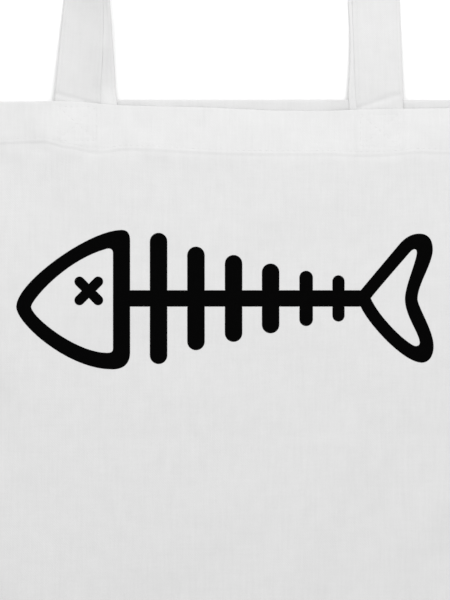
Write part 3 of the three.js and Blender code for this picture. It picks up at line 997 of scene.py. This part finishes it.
def filled(rings, step=2.5):
    """Points and triangles that fill the first ring, less the others, to follow the cloth."""
    points, edges = [], []
    for ring in rings:
        start = len(points)
        points += ring
        edges += [(start + k, start + (k + 1) % len(ring)) for k in range(len(ring))]
    low, high = np.min(rings[0], 0), np.max(rings[0], 0)
    gx, gy = np.meshgrid(np.arange(low[0], high[0], step), np.arange(low[1], high[1], step))
    spots = np.stack([gx.ravel(), gy.ravel()], 1)
    spots = spots[within(rings, spots)]
    border = np.array(points)
    points += [tuple(s) for s in spots if np.min(np.hypot(*(border - s).T)) > 0.5 * step]
    made, _, faces, *_ = delaunay_2d_cdt([Vector(p) for p in points], edges, [], 0, 1e-5)
    made = np.array([tuple(p) for p in made])
    faces = np.array([f for f in faces if len(f) == 3])
    return made, faces[within(rings, made[faces].mean(1))]


def film_piece(name, rings, tree, material):
    """A thin closed film of ink that follows the cloth below it."""
    plan, triangles = filled(rings)
    plan = plan + PRINT_PLACE
    a, b, c = (plan[triangles[:, k]] for k in range(3))
    (bx, by), (cx, cy) = (b - a).T, (c - a).T
    turn = bx * cy - by * cx
    triangles = np.where((turn < 0)[:, None], triangles[:, ::-1], triangles)
    places, _, normals = on_surface(tree, plan, np.tile((1.0, 0.0), (len(plan), 1)))
    over = places + normals * (FILM_GAP + FILM)
    under = places + normals * FILM_GAP
    count = len(plan)
    edges = np.concatenate([triangles[:, [0, 1]], triangles[:, [1, 2]], triangles[:, [2, 0]]])
    known = {tuple(e) for e in edges.tolist()}
    rim = np.array([e for e in known if (e[1], e[0]) not in known])
    rim = rim[np.lexsort((rim[:, 1], rim[:, 0]))]
    walls = np.stack([rim[:, 0], rim[:, 0] + count, rim[:, 1] + count, rim[:, 1]], 1)
    faces = triangles.tolist() + (triangles[:, ::-1] + count).tolist() + walls.tolist()
    piece = mesh_piece(name, np.concatenate([over, under]), faces, np.tile(plan, (2, 1)), material)
    piece.data.shade_flat()
    return piece


def build_print(front, ink):
    tree = tree_of(front)
    shapes = {
        "ink_head": [traced(HEAD_OUTSIDE), traced(HEAD_INSIDE)],
        "ink_eye": [eye_outline()],
        "ink_bones": [bones_outline()],
        "ink_tail": [traced(TAIL_OUTSIDE), traced(TAIL_INSIDE)],
    }
    made = {}
    for name, (outside, *holes) in shapes.items():
        rings = [spread(closely(outside), INK_SPREAD)]
        rings += [spread(closely(hole), -INK_SPREAD) for hole in holes]
        made[name] = film_piece(name, rings, tree, ink)
    return made


# ------ materials
class Nodes:
    """Short calls for building one material."""

    def __init__(self, name):
        self.material = bpy.data.materials.new(name)
        self.material.use_nodes = True
        self.tree = self.material.node_tree
        self.shader = self.tree.nodes["Principled BSDF"]

    def fill(self, node, inputs):
        """Gives a node's inputs, by name or number, values or other nodes' outputs."""
        for key, value in inputs.items():
            if isinstance(value, bpy.types.NodeSocket):
                self.tree.links.new(value, node.inputs[key])
            else:
                node.inputs[key].default_value = value
        return node

    def new(self, kind):
        return self.tree.nodes.new("ShaderNode" + kind)

    def maths(self, operation, *values, kind="Math"):
        node = self.new(kind)
        node.operation = operation
        return self.fill(node, dict(enumerate(values))).outputs[0]

    def weighted(self, *parts):
        """The sum of values times their weights."""
        total = 0.0
        for value, weight in parts:
            total = self.maths("MULTIPLY_ADD", value, weight, total)
        return total

    def noise(self, vector, scales, roughness=0.5):
        """Noise from 0 to 1, with a scale for each of the first two axes."""
        place = self.maths("MULTIPLY", vector, (*scales, 1), kind="VectorMath")
        inputs = {"Vector": place, "Scale": 1, "Roughness": roughness}
        return self.fill(self.new("TexNoise"), inputs).outputs["Fac"]

    def cloth(self):
        """The place on the flat cloth."""
        node = self.new("Attribute")
        node.attribute_name = "cloth"
        return node.outputs["Vector"]

    def greys(self, factor, low, high):
        """A shade from low to high. The factor may go beyond 0 and 1."""
        node = self.fill(self.new("Mix"), {"Factor": factor})
        node.data_type = "RGBA"
        node.clamp_factor = False
        for socket, value in zip([s for s in node.inputs if s.type == "RGBA"], (low, high)):
            socket.default_value = (value, value, value, 1)
        return [s for s in node.outputs if s.type == "RGBA"][0]

    def weave(self, pitch):
        """The height of a plain weave, from -1 to 1."""
        parts = self.fill(self.new("SeparateXYZ"), {0: self.cloth()}).outputs[:2]
        waves = [self.maths("SINE", self.maths("MULTIPLY", part, math.pi / pitch)) for part in parts]
        return self.maths("MULTIPLY", *waves)

    def slubs(self, warp_size, weft_size):
        """Thicker stretches of warp and weft threads, from 0 to 1, for sizes as (width, length)."""
        (across, along), (thin, run) = warp_size, weft_size
        warp = self.noise(self.cloth(), (1 / across, 1 / along), 0.6)
        return warp, self.noise(self.cloth(), (1 / run, 1 / thin), 0.6)

    def finished(self, colour, roughness, gloss, height=None, depth=0.0):
        """The material, with a relief where it has a height. The depth is in metres."""
        self.fill(self.shader, {"Base Color": colour, "Roughness": roughness, "Specular IOR Level": gloss})
        if height:
            bump = self.fill(self.new("Bump"), {"Strength": 1, "Distance": depth, "Height": height})
            self.fill(self.shader, {"Normal": bump.outputs[0]})
        return self.material


WEAVE_PITCH = 0.45  # from thread to thread
TAPE_PITCH = 0.55


def cotton_material(name, brightness, pitch):
    """Matt plain-weave cotton, with slubs and slow clouds in its shade."""
    n = Nodes(name)
    warp, weft = n.slubs((1.6, 24), (1.4, 14))
    cloud = n.noise(n.cloth(), (0.13, 0.13))
    shade = n.maths("SUBTRACT", n.weighted((warp, 0.8), (weft, 0.4), (cloud, 0.7)), 0.45)
    colour = n.greys(shade, brightness * (1 - SHADE_REACH), brightness * (1 + SHADE_REACH))
    n.fill(n.shader, {"Sheen Weight": 0.08})
    height = n.weighted((n.weave(pitch), 0.35), (warp, 0.8), (weft, 0.5))
    return n.finished(colour, 0.95, 0.15, height, 0.000065)


def thread_material(name, brightness):
    n = Nodes(name)
    twist = n.noise(n.cloth(), (1.2, 1.2))
    colour = n.greys(twist, brightness * 0.95, brightness * 1.03)
    return n.finished(colour, 0.7, 0.25, twist, 0.00004)


def ink_material(name):
    n = Nodes(name)
    warp, weft = n.slubs((0.8, 9), (0.8, 9))
    shade = n.weighted((warp, 0.5), (weft, 0.5))
    colour = n.greys(shade, 0.0006, 0.0018)
    return n.finished(colour, 0.9, 0.02, n.weighted((n.weave(WEAVE_PITCH), 0.5), (shade, 1)), 0.00005)


def floor_material():
    n = Nodes("pale_floor")
    grain = n.noise(n.new("TexCoord").outputs["Object"], (30, 30))
    return n.finished(n.greys(grain, 0.93, 0.95), 0.8, 0.1)


# ------ the studio
def build_camera():
    """A camera straight above the bag, with the photograph's framing."""
    data = bpy.data.cameras.new("camera")
    data.sensor_width = SENSOR
    data.lens = SENSOR * VIEW_DISTANCE / (IMAGE_HEIGHT / PIXELS_PER_MM)
    data.clip_start, data.clip_end = 0.05, 60
    camera = added("camera", data)
    x, y = VIEW_CENTRE
    camera.location = (x * MM, (y - ORIGIN_Y) * MM, (VIEW_LEVEL + VIEW_DISTANCE) * MM)
    bpy.context.scene.camera = camera


def area_light(name, place, side, power):
    data = bpy.data.lights.new(name, "AREA")
    data.size = side
    data.energy = power
    light = added(name, data)
    light.location = place
    light.rotation_euler = (-Vector(place)).to_track_quat("-Z", "Y").to_euler()


def build_studio():
    mesh = bpy.data.meshes.new("floor")
    corners = [(-1, -1), (1, -1), (1, 1), (-1, 1)]
    mesh.from_pydata([(x * FLOOR_REACH, y * FLOOR_REACH, 0) for x, y in corners], [], [(0, 1, 2, 3)])
    mesh.materials.append(floor_material())
    floor = added("floor", mesh)
    world = bpy.data.worlds.new("studio")
    world.use_nodes = True
    background = world.node_tree.nodes["Background"]
    background.inputs["Color"].default_value = (1, 1, 1, 1)
    background.inputs["Strength"].default_value = WORLD_STRENGTH
    bpy.context.scene.world = world
    for name, (place, side, power) in LIGHTS.items():
        area_light(name, place, side, power)
    bpy.context.scene.view_settings.view_transform = "Standard"
    bpy.context.scene.view_settings.look = "None"


# ------ the bag
build_camera()
build_studio()

cotton = cotton_material("white_cotton", BAG_BRIGHTNESS, WEAVE_PITCH)
tape_cotton = cotton_material("tape_cotton", TAPE_BRIGHTNESS, TAPE_PITCH)
# Painted light: this copy of the tape cotton is made lighter than the front tape's, to offset the shade
# beneath the front tape's edge.
back_tape_cotton_painted_lighter = cotton_material("back_tape_cotton_painted_lighter", BACK_TAPE_PAINTED_BRIGHTNESS, TAPE_PITCH)
thread = thread_material("white_thread", THREAD_BRIGHTNESS)
ink = ink_material("black_ink")

panels = build_panels(cotton)
front, back = panels["front_cloth"], panels["back_cloth"]
seams = build_allowances(cotton)
front_tape = build_tape("front_tape", True, tape_cotton)
back_tape = build_tape("back_tape", False, back_tape_cotton_painted_lighter)
stitching = build_stitching(front, thread)
front_tape_rows = build_tape_stitches("front_tape_stitches", True, thread)
back_tape_rows = build_tape_stitches("back_tape_stitches", False, thread)
prints = build_print(front, ink)

# ------ bodies, and hiding the CAD parts that these pieces stand in for
for piece in (front, back, *seams.values(), *stitching):
    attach(piece, "root")
for piece in (front_tape, back_tape, front_tape_rows, back_tape_rows):
    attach(piece, "root")
for piece in prints.values():
    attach(piece, "root")

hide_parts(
    "front_panel", "front_border_left", "front_border_right", "front_border_bottom", "front_hem"
)
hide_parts("back_panel", "back_hem")
for node, piece in seams.items():
    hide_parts(node)
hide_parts("front_handle")
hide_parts("back_handle")
for part in ("head", "eye", "bones", "tail"):
    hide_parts(f"print_{part}")
